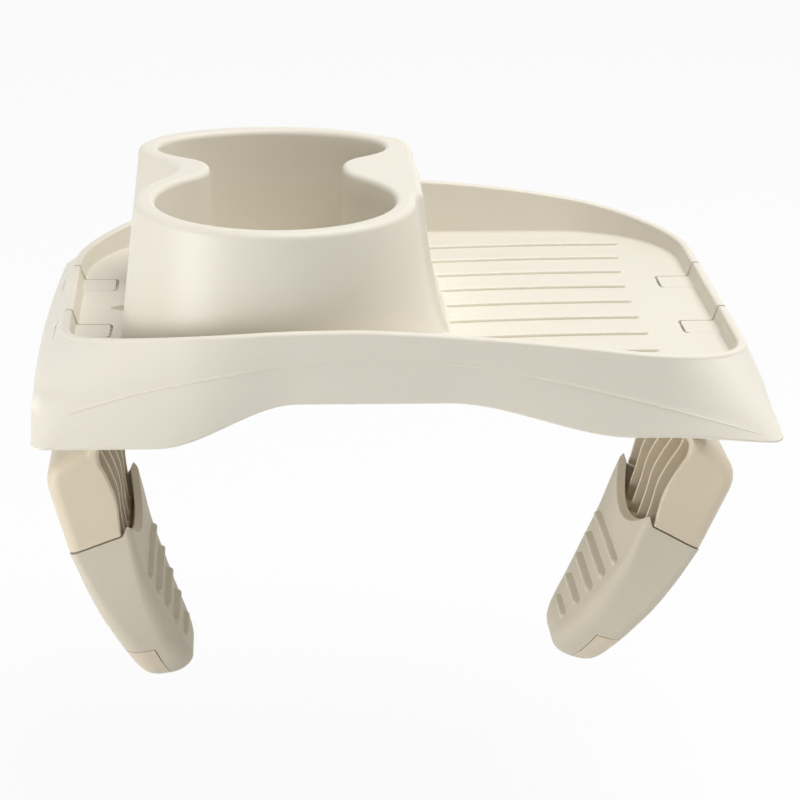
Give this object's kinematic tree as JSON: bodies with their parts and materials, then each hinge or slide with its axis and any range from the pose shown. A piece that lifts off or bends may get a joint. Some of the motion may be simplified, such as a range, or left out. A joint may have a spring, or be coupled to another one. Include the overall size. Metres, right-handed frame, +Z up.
{
  "type": "hot tub cup holder",
  "caption": "Clip-on spa tray with a figure-eight drinks well, drip ribs, an arched skirt that straddles a tub wall, and hinged clamp legs with ribbed grip boots.",
  "frame": {"origin": "on the underside of the deck, in the middle of the tray between the two legs, where the tray sits on the tub wall", "axes": "+Z up, +X to the right seen from the front, -Y to the front, where the round drinks well is"},
  "size_m": [0.2543, 0.222, 0.1932],
  "materials": {
    "tray_cream": "cream moulded plastic with a fine satin grain",
    "arm_tan": "tan moulded plastic, satin",
    "boot_grip": "grey-tan soft moulded grip, matt",
    "pin_steel": "plain drawn stainless pin"
  },
  "bodies": {
    "base": {"tray": "tray_cream", "left_hanger": "tray_cream", "right_hanger": "tray_cream", "left_hinge_pin": "pin_steel", "right_hinge_pin": "pin_steel"},
    "left_leg": {"left_arm": "arm_tan", "left_boot": "boot_grip"},
    "right_leg": {"right_arm": "arm_tan", "right_boot": "boot_grip"}
  },
  "joints": [
    {"name": "left_leg_hinge", "type": "hinge", "parent": "base", "child": "left_leg", "pos_m": [-0.1058, 0, -0.0328], "axis": [0, 1, 0], "range_deg": [-18.1, 5.9]},
    {"name": "right_leg_hinge", "type": "hinge", "parent": "base", "child": "right_leg", "pos_m": [0.1058, 0, -0.0328], "axis": [0, 1, 0], "range_deg": [-14.1, 9.9]}
  ]
}
